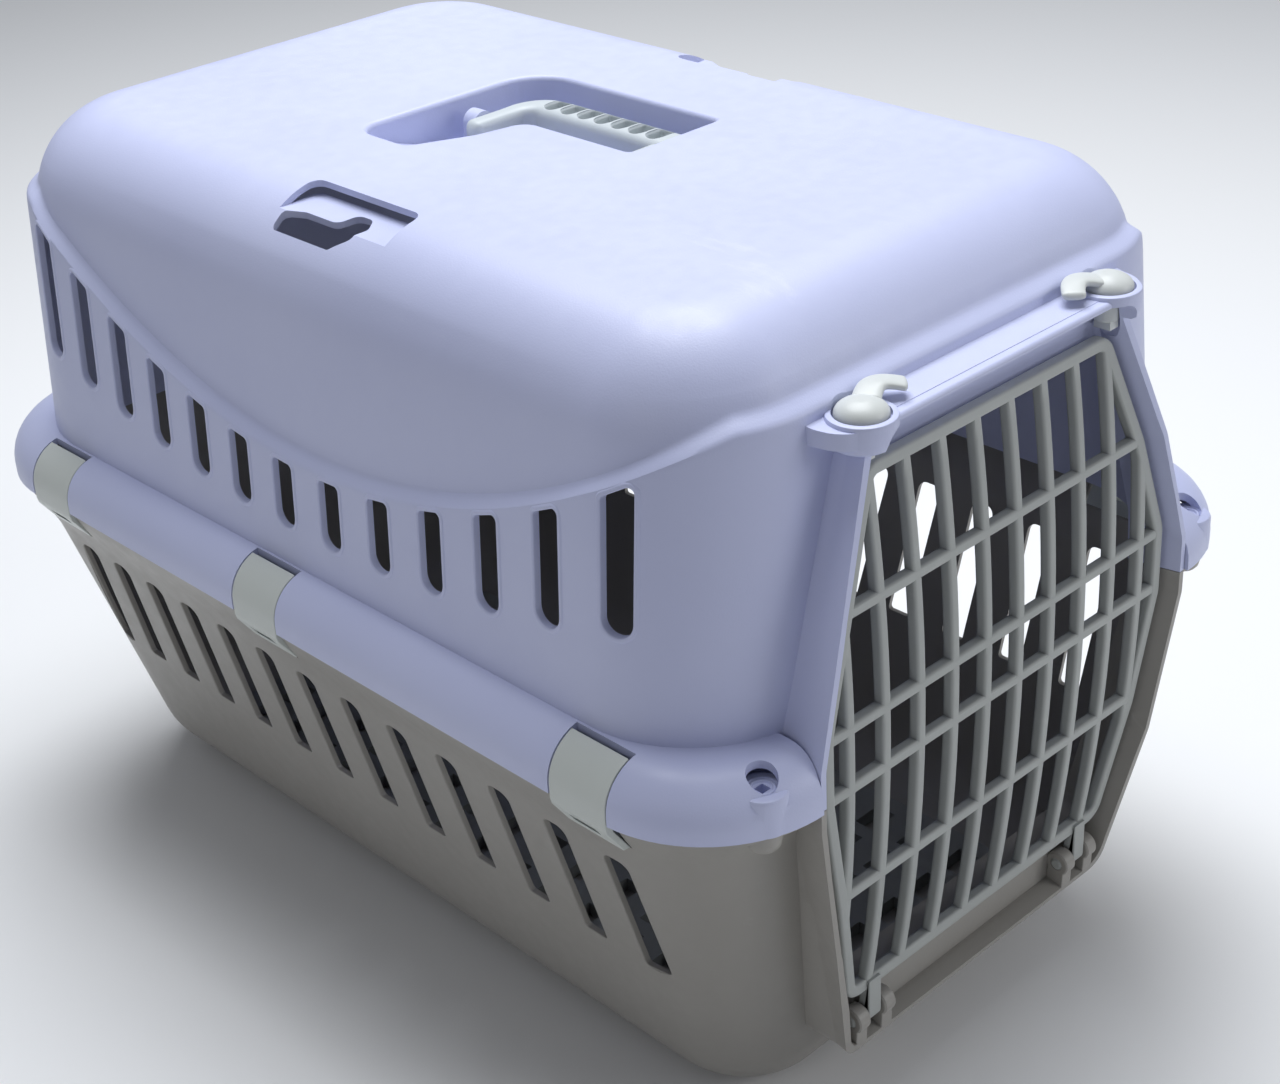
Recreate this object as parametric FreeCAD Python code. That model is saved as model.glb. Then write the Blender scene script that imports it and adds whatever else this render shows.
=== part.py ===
# Pet transport carrier: two moulded half shells, barred door hinged at the bottom, two swivel
# latches, folding carry handle, six side clips, two corner pins and a loose floor grate.
# Millimetres, +Z up, door towards -Y, origin on the ground under the middle of the carrier.
import FreeCAD
import Part
import math
import os

V = FreeCAD.Vector

# --- driving dimensions ---
rail_half_width = 155.0
rail_front = -230.0
rail_rear = 231.0
height = 320.0
parting_z = 164.0
skin = 2.5

# upper shell body (half width and ends at the parting line and at the roof)
upper_base = dict(half=136.0, front=-206.0, rear=215.0, r_front=46.0, r_rear=58.0)
upper_top = dict(half=126.0, front=-199.0, rear=209.0, r_front=46.0, r_rear=52.0)
roof_radius = 36.0
panel_proud = 4.5

# lower shell body
lower_top = dict(half=149.0, front=-214.0, rear=225.0, r_front=46.0, r_rear=55.0)
lower_base = dict(half=101.0, front=-191.0, rear=209.0, r_front=34.0, r_rear=40.0)
base_radius = 26.0

# vent slots
slot_count = 13
slot_width = 11.5
slot_round = 5.6
lean_round = 4.0
lean_corner = 1.5
slot_corner = 2.0

# rim rail
rail_height = 21.0
rail_radius = 17.0

# bowed front: cylinder about an X axis level with the parting line
bow_radius = 663.0
front_y = -223.5
bow_centre_y = front_y + bow_radius
lip_forward = 5.0
apron_rear_z = 35.0
flare_y = -211.0
stop_y = -208.5

# door
door_pitch = 18.18
door_thickness = 5.0
bar_width = 4.4
door_gap = 1.5
door_hinge_y = -213.0
door_hinge_z = 46.0
hinge_pin_radius = 2.6
hinge_clearance = 0.08
hinge_x = 62.0

# latches
latch_x = 65.0
latch_y = -213.0
visor_z = 287.0
visor_front = -221.0
visor_rear = -202.0
latch_radius = 9.3
lever_length = 19.0

# handle
handle_x = 3.5
handle_z = 311.0
grip_x = 26.0
grip_front = -44.0
grip_rear = 38.0
leg_width = 9.0
leg_rear = grip_rear + leg_width / 2
handle_pin_radius = 3.0
recess_floor = 297.0
recess_front = -47.0

# side clips: centre along the length
clip_places = dict(rear=158.0, middle=12.0, front=-168.0)
clip_width = 27.0
clip_gap = 0.5
clip_thickness = 3.0
clip_reach = 12.0
clip_drop = 14.0
clip_notch = 3.0
clip_lean = 7.5

# corner pins
pin_x = 119.5
pin_y = -218.0
pin_head_radius = 4.6


# --- helpers ---
def corner_loop(points, radii):
    """Edges of a closed polygon with rounded corners, in the XY plane."""
    count = len(points)
    if not isinstance(radii, (list, tuple)):
        radii = [radii] * count
    starts, ends, mids = [], [], []
    for i, (x, y) in enumerate(points):
        here = V(x, y, 0)
        to_prev = V(*points[i - 1], 0) - here
        to_next = V(*points[(i + 1) % count], 0) - here
        to_prev.normalize()
        to_next.normalize()
        half = to_prev.getAngle(to_next) / 2
        reach = radii[i] / math.tan(half)
        bisector = to_prev + to_next
        if radii[i] < 0.01 or bisector.Length < 1e-6:
            starts.append(here)
            ends.append(here)
            mids.append(None)
            continue
        bisector.normalize()
        centre = here + bisector * (radii[i] / math.sin(half))
        starts.append(here + to_prev * reach)
        ends.append(here + to_next * reach)
        mids.append(centre - bisector * radii[i])
    edges = []
    for i in range(count):
        if mids[i] is not None:
            edges.append(Part.Arc(starts[i], mids[i], ends[i]).toShape())
        following = starts[(i + 1) % count]
        if (following - ends[i]).Length > 1e-5:
            edges.append(Part.LineSegment(ends[i], following).toShape())
    return Part.Wire(edges)


def in_plane(shape, plane, level):
    """Turn a shape drawn in XY so that its axes lie on the named plane, at that level."""
    if plane == "XZ":
        turn = FreeCAD.Rotation(V(1, 0, 0), 90)
        shape.Placement = FreeCAD.Placement(V(0, level, 0), turn)
    elif plane == "YZ":
        turn = FreeCAD.Rotation(V(1, 1, 1), 120)
        shape.Placement = FreeCAD.Placement(V(level, 0, 0), turn)
    else:
        shape.Placement = FreeCAD.Placement(V(0, 0, level), FreeCAD.Rotation())
    return shape


def prism(points, radii, plane, low, high):
    """Solid between two levels across the plane, from a rounded polygon."""
    face = in_plane(Part.Face(corner_loop(points, radii)), plane, low)
    axis = dict(XY=V(0, 0, 1), XZ=V(0, 1, 0), YZ=V(1, 0, 0))[plane]
    return face.extrude(axis * (high - low))


def box(x0, x1, y0, y1, z0, z1):
    return Part.makeBox(x1 - x0, y1 - y0, z1 - z0, V(x0, y0, z0))


def rod(radius, start, end):
    start, end = V(*start), V(*end)
    return Part.makeCylinder(radius, (end - start).Length, start, end - start)


def plan_loop(half, front, rear, r_front, r_rear, z):
    points = [(-half, front), (half, front), (half, rear), (-half, rear)]
    return in_plane(corner_loop(points, [r_front, r_front, r_rear, r_rear]), "XY", z)


def shrunk(plan, by):
    """A plan outline moved inwards (or outwards, when by is negative)."""
    return dict(half=plan["half"] - by, front=plan["front"] + by, rear=plan["rear"] - by,
                r_front=plan["r_front"] - by, r_rear=plan["r_rear"] - by)


def tapered(plan_low, z_low, plan_high, z_high):
    low = plan_loop(z=z_low, **plan_low)
    high = plan_loop(z=z_high, **plan_high)
    return Part.makeLoft([low, high], True, True)


def level_edges(shape, z):
    return [e for e in shape.Edges
            if abs(e.BoundBox.ZMin - z) < 0.01 and abs(e.BoundBox.ZMax - z) < 0.01]


def mirrored(shape):
    return shape.mirror(V(0, 0, 0), V(1, 0, 0))


def both_sides(shape):
    return [shape, mirrored(shape)]


def fused(shapes):
    return shapes[0].multiFuse(shapes[1:]).removeSplitter()


def bowed_slab(forward, thickness):
    """Layer of the bowed front, its outer face that far forward of the door's outer face."""
    reach = 200.0
    outer = rod(bow_radius + forward, (-reach, bow_centre_y, parting_z), (reach, bow_centre_y, parting_z))
    inner = rod(bow_radius + forward - thickness,
                (-reach, bow_centre_y, parting_z), (reach, bow_centre_y, parting_z))
    front = box(-reach, reach, front_y - 20, front_y + 60, 0, height + 20)
    return outer.cut(inner).common(front)


def both_halves(right, radii):
    """Closed outline in X and Z from its right half, listed from the top downwards."""
    left = [(-x, z) for x, z in reversed(right)]
    return right + left, radii + radii[::-1]


def door_outline(grow=0.0, top=None, bottom=None):
    """Barrel outline of the door, or of the doorway or hood when its top or bottom is given."""
    top_x = 66.0 + grow
    top_z = 270.5 + grow
    if top is not None:
        top_x -= (top - top_z) * 0.36
        top_z = top
    right = [(top_x, top_z), (83 + grow, 224), (95.5 + grow, 184), (95.5 + grow, 157), (86.5 + grow, 110)]
    right.append((76 + grow, 57.5 - grow) if bottom is None else (73 + grow, bottom))
    return both_halves(right, [6, 20, 12, 12, 20, 6])


def lip_outline(inset=0.0):
    """Outline of the hood's front lip round the doorway."""
    right = [(68 - inset, visor_z + 1 - inset), (91 - inset, 228), (104.5 - inset, 176),
             (104.5 - inset, 154), (94 - inset, 84), (78 - inset, 27 + inset)]
    return both_halves(right, [6, 30, 14, 14, 30, 18])


# --- shared pieces of shape ---
def slot_centre(index):
    """Place of a vent slot along the side; the spacing widens a little towards the door."""
    return 163.5 - 24.6 * index - 0.27 * index ** 2


def ledge_rise(y):
    """Share of the sweep of the side panel's upper edge, 0 at its lowest point."""
    return ((y + 8.0) / 165.0) ** 2


def slot_top(y):
    return 226.8 + 47.5 * ledge_rise(y)


def upper_slot(index):
    """Slot of the upper shell: round below, its top edge following the ledge."""
    y = slot_centre(index)
    low = 200.0 + 22.5 * ledge_rise(y)
    half = slot_width / 2
    corners = [(y - half, low), (y + half, low), (y + half, slot_top(y + half)), (y - half, slot_top(y - half))]
    radii = [slot_round, slot_round, slot_corner, slot_corner]
    return prism(corners, radii, "YZ", -rail_half_width, rail_half_width)


def lower_slot(index):
    """Slot of the lower shell: round above, flat below; the rear ones lean backwards as they go down."""
    y = slot_centre(index) * 0.985 + 0.5
    lean = 14.0 * (slot_count - 1 - index) / (slot_count - 1)
    half = slot_width / 2 - 0.25
    corners = [(y + lean - half, 76.0), (y + lean + half, 76.0), (y + half, 135.5), (y - half, 135.5)]
    radii = [lean_corner, lean_corner, lean_round, lean_round]
    return prism(corners, radii, "YZ", -rail_half_width, rail_half_width)


def rail_ring(inner_gap):
    """Rim rail: rounded rail that runs round the carrier above the parting line."""
    outer = dict(half=rail_half_width, front=rail_front, rear=rail_rear, r_front=52.0, r_rear=60.0)
    solid = tapered(outer, parting_z, outer, parting_z + rail_height)
    solid = solid.makeFillet(rail_radius, level_edges(solid, parting_z + rail_height))
    if inner_gap:
        hollow = shrunk(outer, inner_gap)
        core = tapered(hollow, parting_z - 1, hollow, parting_z + rail_height - inner_gap)
        core = core.makeFillet(rail_radius - inner_gap, level_edges(core, parting_z + rail_height - inner_gap))
        solid = solid.cut(core)
    return solid


def clip_zone(place, side, widen):
    """Space of one side clip, from under the rim to the top of the rail, with a notch behind it when widened."""
    y = clip_places[place]
    half = clip_width / 2 + widen
    notch = clip_notch if widen else 0.0
    x0, x1 = sorted((side * (rail_half_width - clip_reach - notch), side * (rail_half_width + 5)))
    return box(x0, x1, y - half, y + half, parting_z - clip_drop - widen, parting_z + rail_height + 5)


# --- upper shell ---
def upper_body(inset):
    low = shrunk(upper_base, inset)
    high = shrunk(upper_top, inset)
    top = height - inset
    solid = tapered(low, parting_z - (2 if inset else 0), high, top)
    return solid.makeFillet(roof_radius - inset, level_edges(solid, top))


def side_panel(inset=0.0):
    """Lower part of the sides, standing proud below a swept ledge."""
    low = shrunk(upper_base, inset - panel_proud)
    high = shrunk(upper_top, inset - panel_proud)
    bottom = parting_z - (2 if inset else 0)
    solid = tapered(low, bottom, high, height)
    front = -214.0 + inset
    places = [front, -190.0, -150.0, -100.0, -50.0, -8.0, 40.0, 90.0, 140.0, 175.0]
    crest = [V(y, 231.0 - inset + 47.5 * ledge_rise(y), 0) for y in places]
    curve = Part.BSplineCurve()
    curve.interpolate(crest)
    corners = [crest[-1], V(240.0, crest[-1].y, 0), V(240.0, bottom, 0), V(front, bottom, 0), crest[0]]
    outline = [curve.toShape()]
    for start, end in zip(corners, corners[1:]):
        outline.append(Part.LineSegment(start, end).toShape())
    face = in_plane(Part.Face(Part.Wire(outline)), "YZ", -200.0)
    return solid.common(face.extrude(V(400, 0, 0)))


def recess_outline(grow=0.0):
    """L-shaped hand recess of the roof: a long arm for the grip and a short one for the leg."""
    points = [(45 + grow, recess_front - grow), (45 + grow, 56 + grow), (-48 - grow, 58 + grow),
              (-48 - grow, 27 - grow), (-24, 15.5 - grow), (-1.6 - grow, 11 - grow),
              (-1.6 - grow, recess_front - grow)]
    return points, [1.5, 20, 10, 4, 12, 9, 1.5]


def recess_space(grow):
    """Space of the hand recess: deep under the handle, sloping up at the far end of the short arm."""
    points, radii = recess_outline(grow)
    space = prism(points, [r + grow for r in radii], "XY", recess_floor - grow, height + 10)
    slope = [(-60, height - 1 - grow), (-14, recess_floor + 8 - grow), (-14, recess_floor - 10),
             (-60, recess_floor - 10)]
    return space.cut(prism(slope, 0, "XZ", 0, 70))


def belt_pocket_cut():
    """Pocket in the roof's shoulder for a car seat belt."""
    return prism([(-140, -37), (-92, -37), (-92, 24), (-140, 24)], [0, 5, 5, 0], "XY",
                 height - 6, height + 5)


def belt_opening():
    """Strip-shaped opening round the free end of a flat tongue that is rooted at the pocket's rear."""
    points = [(-117, 21), (-111, 21), (-107, 12), (-107, -6), (-97, -6), (-97, -14), (-104, -20), (-112, -20),
              (-117, -12)]
    return prism(points, [2, 2, 3, 3, 3, 5, 5, 3, 3], "XY", height - 20, height + 5)


def belt_floor():
    """Flat floor of the pocket, down to the shell's shoulder."""
    plate = prism([(-126, -38), (-91, -38), (-91, 25), (-126, 25)], 3, "XY", height - 6 - skin, height - 6)
    return plate.common(upper_body(0.0))


def ruled(outline_a, y_a, outline_b, y_b):
    """Ruled solid between two outlines in upright planes across the carrier."""
    wire_a = in_plane(corner_loop(*outline_a), "XZ", y_a)
    wire_b = in_plane(corner_loop(*outline_b), "XZ", y_b)
    return Part.makeLoft([wire_a, wire_b], True, True)


def hood_space(inset):
    """Hood round the doorway: straight at the back, flaring forwards to its lip."""
    rear = door_outline(door_gap + skin - inset, visor_z - inset, apron_rear_z + inset)
    straight = prism(rear[0], rear[1], "XZ", flare_y - 0.01, -188.0)
    flare = ruled(rear, flare_y, lip_outline(inset), front_y - 12)
    bow = rod(bow_radius + lip_forward, (-200, bow_centre_y, parting_z), (200, bow_centre_y, parting_z))
    return straight.fuse(flare.common(bow))


def hood(z_low, z_high):
    return hood_space(0.0).common(box(-200, 200, front_y - 20, 0, z_low, z_high))


def doorway():
    """Everything the doorway takes away, down to the stop flange behind the door's top bar."""
    points, radii = door_outline(door_gap, visor_z - skin)
    ahead = prism(points, radii, "XZ", front_y - 20, stop_y)
    points, radii = door_outline(door_gap, 263.0)
    behind = prism(points, radii, "XZ", stop_y - 1, -170)
    return ahead.fuse(hood_space(skin).common(box(-200, 200, -260, stop_y, 0, 400))).fuse(behind)


def visor():
    """Shelf over the door that carries the two latches, the space under it and the boss pads."""
    outer = [(-190, 304), (-199, 295), (visor_rear, visor_z), (visor_front, visor_z),
             (visor_front, visor_z - 6), (-190, visor_z - 6)]
    block = prism(outer, [0, 5, 5, 1.5, 0, 0], "YZ", -80, 80)
    plan = prism([(-79, -222), (79, -222), (86, -185), (-86, -185)], [14, 14, 0, 0], "XY", 200, 330)
    wall = stop_y + skin
    inner = [(-190, 298), (-200, visor_z - skin), (wall, visor_z - skin), (wall, 270), (-190, 270)]
    hollow = prism(inner, [0, 4, 0, 0, 0], "YZ", -60, 60)
    pads = [rod(latch_radius + 2.6, (s * latch_x, latch_y, visor_z - 6), (s * latch_x, latch_y, visor_z + 1.6))
            for s in (-1, 1)]
    return block.common(plan), hollow, pads


def latch_bore(side):
    """Seat, stem hole and foot room of one latch."""
    x = side * latch_x
    stem = rod(3.5 + hinge_clearance, (x, latch_y, 262), (x, latch_y, 300))
    seat = rod(latch_radius + 0.4, (x, latch_y, visor_z - 0.6), (x, latch_y, visor_z + 12))
    foot = rod(4.8, (x, latch_y, 268), (x, latch_y, visor_z - skin - 0.6))
    return [stem, seat, foot]


def pin_boss(low, high, radius):
    return [rod(radius, (s * pin_x, pin_y, low), (s * pin_x, pin_y, high)) for s in (-1, 1)]


def handle_bearings():
    """Bosses that take the handle's pins: one under the roof in front, one standing in the recess."""
    half = 6.5
    low = recess_floor - 2
    front = box(handle_x - half, handle_x + half, grip_front - 12, recess_front, low, height - 1.5)
    rear = box(handle_x - half, handle_x + half, leg_rear + 0.4, leg_rear + 7.2, low, handle_z)
    crown = rod(half, (handle_x, leg_rear + 0.4, handle_z), (handle_x, leg_rear + 7.2, handle_z))
    return front, rear.fuse(crown)


def front_gap():
    """Room that the rail and the rim leave for the hood."""
    points, radii = lip_outline(1.0)
    return prism(points, radii, "XZ", front_y - 20, -150)


def make_upper_shell():
    block, hollow, pads = visor()
    shell = upper_body(0.0).fuse(side_panel()).fuse(hood(parting_z, height)).fuse(block)
    shell = shell.fuse(rail_ring(clip_thickness).cut(front_gap()))
    for boss in pin_boss(parting_z, parting_z + 14, 9.0) + pads:
        shell = shell.fuse(boss)
    shell = shell.cut(upper_body(skin)).cut(side_panel(skin)).cut(hollow).cut(doorway())
    shell = shell.fuse(recess_space(skin).common(upper_body(0.0)))
    front_post, rear_post = handle_bearings()
    shell = shell.fuse(front_post).cut(recess_space(0.0)).fuse(rear_post)
    shell = shell.cut(box(handle_x - 19, handle_x - 7, leg_rear - 10, leg_rear + 2, 280, height - 2))
    shell = shell.cut(Part.makeCompound([upper_slot(i) for i in range(slot_count)]))
    shell = cut_clip_zones(cut_belt_pockets(shell))
    for side in (-1, 1):
        for tool in latch_bore(side):
            shell = shell.cut(tool)
        x = side * pin_x
        shell = shell.cut(rod(pin_head_radius + 0.3, (x, pin_y, parting_z + 8), (x, pin_y, parting_z + 30)))
        shell = shell.cut(rod(2.1, (x, pin_y, parting_z - 1), (x, pin_y, parting_z + 30)))
    pins = rod(handle_pin_radius + hinge_clearance, (handle_x, grip_front - 11, handle_z),
               (handle_x, leg_rear + 6.4, handle_z))
    return largest(shell.cut(pins))


def cut_belt_pockets(shell):
    for pocket in both_sides(belt_pocket_cut()):
        shell = shell.cut(pocket)
    for floor in both_sides(belt_floor()):
        shell = shell.fuse(floor)
    for opening in both_sides(belt_opening()):
        shell = shell.cut(opening)
    return shell


def cut_clip_zones(shell):
    for side in (-1, 1):
        for place in clip_places:
            shell = shell.cut(clip_zone(place, side, clip_gap))
    return shell


def largest(shape):
    return max(shape.Solids, key=lambda s: s.Volume)


# --- lower shell ---
def lower_body(inset):
    low = shrunk(lower_base, inset)
    high = shrunk(lower_top, inset)
    solid = tapered(low, inset, high, parting_z - 0.3 + (2 if inset else 0))
    return solid.makeFillet(base_radius - inset, level_edges(solid, inset))


def hinge_lug(x):
    """Snap lug of the apron that holds one hinge pin of the door."""
    width = 6.0
    outer = rod(5.2, (x - width / 2, door_hinge_y, door_hinge_z), (x + width / 2, door_hinge_y, door_hinge_z))
    stalk = box(x - width / 2, x + width / 2, door_hinge_y - 3, door_hinge_y + 4, door_hinge_z - 10, door_hinge_z)
    return outer.fuse(stalk)


def make_lower_shell():
    rim_top = parting_z - 0.3
    rim_plan = dict(half=rail_half_width - 3.5, front=rail_front + 3.5, rear=rail_rear - 3.5,
                    r_front=48.0, r_rear=56.0)
    rim = tapered(rim_plan, parting_z - 4, rim_plan, rim_top)
    shell = lower_body(0.0).fuse(hood(0, rim_top)).fuse(rim.cut(front_gap()))
    for boss in pin_boss(parting_z - 11, rim_top, 6.5):
        shell = shell.fuse(boss)
    shell = shell.cut(lower_body(skin)).cut(doorway())
    shell = shell.cut(Part.makeCompound([lower_slot(i) for i in range(slot_count)]))
    for x in (-hinge_x - 7, -hinge_x + 7, hinge_x - 7, hinge_x + 7):
        shell = shell.fuse(hinge_lug(x))
    for side in (-1, 1):
        pin = rod(hinge_pin_radius + hinge_clearance, (side * (hinge_x - 13), door_hinge_y, door_hinge_z),
                  (side * (hinge_x + 13), door_hinge_y, door_hinge_z))
        arm_room = box(side * hinge_x - 3.9, side * hinge_x + 3.9, door_hinge_y - 30, door_hinge_y + 4.5,
                       door_hinge_z - 4.5, door_hinge_z + 20)
        shell = shell.cut(pin).cut(arm_room)
        shell = shell.cut(rod(2.1, (side * pin_x, pin_y, parting_z - 9.5), (side * pin_x, pin_y, parting_z)))
    return largest(cut_clip_zones(shell))


# --- door ---
def door_bars():
    rows = [266.8, 224.3, 182.3, 158.7, 112.8, 61.1]
    bars = [box(-110, 110, -240, -190, z - bar_width / 2, z + bar_width / 2) for z in rows]
    columns = [(k + 0.5) * door_pitch for k in range(-5, 5)]
    bars += [box(x - bar_width / 2, x + bar_width / 2, -240, -190, 50, 290) for x in columns]
    return bars


def make_door():
    points, radii = door_outline(0.0)
    edge = prism(points, radii, "XZ", -240, -190)
    points, radii = door_outline(-5.0)
    opening = prism(points, [r * 0.8 for r in radii], "XZ", -241, -189)
    bars = fused(door_bars()).common(edge)
    grille = fused([edge.cut(opening), bars]).common(bowed_slab(0.0, door_thickness))
    parts = [grille]
    for side in (-1, 1):
        x = side * hinge_x
        arm = box(x - 3.4, x + 3.4, door_hinge_y - 3.5, door_hinge_y + 1.5, door_hinge_z - 2, 62)
        pin = rod(hinge_pin_radius, (x - 10.5, door_hinge_y, door_hinge_z), (x + 10.5, door_hinge_y, door_hinge_z))
        parts += [arm, pin]
    return largest(fused(parts))


# --- latches ---
def make_latch(side):
    """Swivel latch: domed knob with a lever, a stem through the visor and a foot under it."""
    x = side * latch_x
    knob = rod(latch_radius, (x, latch_y, visor_z - 0.3), (x, latch_y, visor_z + 3.4))
    knob = knob.makeFillet(2.4, level_edges(knob, visor_z + 3.4))
    inward = -side
    tip = x + inward * lever_length
    corners = [(x, latch_y - 4), (tip, latch_y - 6.5), (tip, latch_y), (x, latch_y + 4)]
    if inward < 0:
        corners = corners[::-1]
    lever = prism(corners, [0, 2.8, 2.8, 0], "XY", visor_z + 1.9, visor_z + 5.4)
    stem = rod(3.5, (x, latch_y, 276), (x, latch_y, visor_z))
    foot = rod(4.3, (x, latch_y, 276), (x, latch_y, visor_z - skin - 1.0))
    tongue = box(x - 2.4, x + 2.4, latch_y - 3.4, latch_y + 3.4, 272.8, 277)
    return fused([knob, lever, stem, foot, tongue])


# --- handle ---
def make_handle():
    """Folding bail: ribbed hollow grip, two legs and a pin at each end."""
    grip = prism([(grip_x - 8, 303), (grip_x + 8, 303), (grip_x + 7, 317), (grip_x - 7, 317)],
                 [5, 5, 3.5, 3.5], "XZ", grip_front, grip_rear)
    cells = 7
    pitch = 9.6
    rib = 1.8
    reach = (pitch - rib) / 2
    first = (grip_front + grip_rear) / 2 - pitch * (cells - 1) / 2
    pockets = []
    for k in range(cells):
        y = first + k * pitch
        corners = [(grip_x - 5, y - reach), (grip_x + 5, y - reach), (grip_x + 5, y + reach), (grip_x - 5, y + reach)]
        pockets.append(prism(corners, 2.0, "XY", 307, 320))
    parts = [grip.cut(Part.makeCompound(pockets))]
    for leg_front, tail in ((grip_front, handle_x - 4.5), (leg_rear - leg_width, handle_x - 12)):
        side = [(tail, handle_z - 4), (grip_x + 2, 305), (grip_x + 4, 316), (tail, handle_z + 3.5)]
        parts.append(prism(side, [3.4, 2, 2, 3.4], "XZ", leg_front, leg_front + leg_width))
    parts.append(rod(handle_pin_radius, (handle_x, grip_front - 10, handle_z), (handle_x, grip_front + 1, handle_z)))
    parts.append(rod(handle_pin_radius, (handle_x, leg_rear - 1, handle_z), (handle_x, leg_rear + 6, handle_z)))
    return largest(fused(parts))


# --- small pieces ---
def make_clip(place, side):
    """Side clip: curved tab lying flush in the rail, hooked over it, rooted in the lower rim."""
    zone = clip_zone(place, side, 0.0)
    ring = rail_ring(clip_thickness)
    tab = ring.common(zone)
    y = clip_places[place]
    half = clip_width / 2
    x = rail_half_width
    low = parting_z - clip_drop
    root = prism([(x, parting_z + 1), (x, parting_z - 3), (x - clip_lean, low), (x - clip_lean - clip_thickness, low),
                  (x - clip_thickness, parting_z - 3), (x - clip_thickness, parting_z + 1)], 0, "XZ", y - half, y + half)
    slot = box(x - 12, x + 1, y - 7, y + 7, parting_z - 9.5, parting_z - 5)
    if side < 0:
        root, slot = mirrored(root), mirrored(slot)
    return largest(fused([tab, root]).cut(slot))


def make_pins():
    """Plastic snap pins of the two front corners, each with a square hole in its head."""
    pins = []
    top = parting_z + 13.0
    for side in (-1, 1):
        x = side * pin_x
        head = rod(pin_head_radius, (x, pin_y, parting_z + 8.0), (x, pin_y, top))
        shank = rod(1.9, (x, pin_y, parting_z - 9), (x, pin_y, parting_z + 8.5))
        half = 2.0
        hole = box(x - half, x + half, pin_y - half, pin_y + half, top - 3.5, top + 1)
        pins.append(head.fuse(shank).cut(hole))
    return Part.makeCompound(pins)


def make_floor_grate():
    """Loose lattice on the floor that keeps the animal dry."""
    half, front, rear = 82.0, -172.0, 186.0
    low, high = 3.1, 9.1
    plate = prism([(-half, front), (half, front), (half, rear), (-half, rear)], 18, "XY", low, high)
    columns = [(-66 + 22 * k) for k in range(7)]
    rows = [front + 18 + 23.0 * k for k in range(15)]
    holes = [box(x - 7.5, x + 7.5, y - 5.0, y + 5.0, low - 1, high + 1) for x in columns for y in rows]
    return largest(plate.cut(Part.makeCompound(holes)))


def main():
    os.makedirs("parts", exist_ok=True)
    nodes = dict(upper_shell=make_upper_shell(), lower_shell=make_lower_shell(), door_grille=make_door(),
                 carry_handle=make_handle(), corner_pins=make_pins(), floor_grate=make_floor_grate(),
                 door_latch_left=make_latch(-1), door_latch_right=make_latch(1))
    for name, side in (("left", -1), ("right", 1)):
        for place in clip_places:
            nodes["side_clip_%s_%s" % (name, place)] = make_clip(place, side)
    for name, shape in nodes.items():
        shape.exportStep("parts/%s.step" % name)
        print(name, "solids", len(shape.Solids), "valid", shape.isValid(), "volume", round(shape.Volume),
              "size", [round(v, 1) for v in (shape.BoundBox.XLength, shape.BoundBox.YLength, shape.BoundBox.ZLength)])


main()
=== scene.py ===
import math
import bmesh
import bpy
import mathutils
import numpy as np
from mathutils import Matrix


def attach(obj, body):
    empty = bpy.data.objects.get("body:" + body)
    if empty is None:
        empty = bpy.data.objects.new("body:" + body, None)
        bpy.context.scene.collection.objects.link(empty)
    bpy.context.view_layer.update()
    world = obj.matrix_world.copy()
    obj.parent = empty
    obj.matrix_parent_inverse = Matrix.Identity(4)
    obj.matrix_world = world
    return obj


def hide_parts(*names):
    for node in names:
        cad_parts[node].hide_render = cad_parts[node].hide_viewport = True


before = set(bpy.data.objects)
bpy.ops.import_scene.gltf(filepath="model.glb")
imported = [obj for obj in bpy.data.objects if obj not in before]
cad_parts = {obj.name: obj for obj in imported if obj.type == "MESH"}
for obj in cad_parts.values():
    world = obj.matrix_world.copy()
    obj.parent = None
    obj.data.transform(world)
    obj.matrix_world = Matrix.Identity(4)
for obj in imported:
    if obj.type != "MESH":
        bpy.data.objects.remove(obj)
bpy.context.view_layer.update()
print("stage: frame loaded")

# lengths below are millimetres; meshes are written in metres
carrier = {"height": 320.0, "parting": 164.0, "skin": 2.5}
upperLow = {"half": 136.0, "front": -206.0, "rear": 215.0, "radiusFront": 46.0, "radiusRear": 58.0}
upperHigh = {"half": 126.0, "front": -199.0, "rear": 209.0, "radiusFront": 46.0, "radiusRear": 52.0}
lowerHigh = {"half": 149.0, "front": -214.0, "rear": 225.0, "radiusFront": 46.0, "radiusRear": 55.0}
lowerLow = {"half": 101.0, "front": -191.0, "rear": 209.0, "radiusFront": 34.0, "radiusRear": 40.0}
rail = {"half": 155.0, "front": -230.0, "rear": 231.0, "radiusFront": 52.0, "radiusRear": 60.0,
        "height": 21.0, "round": 17.0}
bow = {"radius": 663.0, "frontY": -223.5}


# mesh tools
def gridFaces(rows, columns, start=0, closeRows=False):
    # four-sided faces between neighbouring rows; the columns always close into a ring
    index = start + np.arange(rows * columns).reshape(rows, columns)
    if closeRows:
        index = np.vstack([index, index[:1]])
    index = np.hstack([index, index[:, :1]])
    return np.stack([index[:-1, :-1], index[:-1, 1:], index[1:, 1:], index[1:, :-1]], axis=-1).reshape(-1, 4)


def newMesh(name, points, quads, caps=()):
    # points in millimetres, quads as an index table, caps as longer loops of indices
    faces = [tuple(q) for q in quads.tolist()] + [tuple(c) for c in caps]
    mesh = bpy.data.meshes.new(name)
    mesh.from_pydata((np.asarray(points, float) * 0.001).tolist(), [], faces)
    mesh.validate()
    return mesh


def newPiece(name, mesh):
    # an object at the origin, unturned and unscaled
    piece = bpy.data.objects.new(name, mesh)
    bpy.context.scene.collection.objects.link(piece)
    return piece


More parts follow.
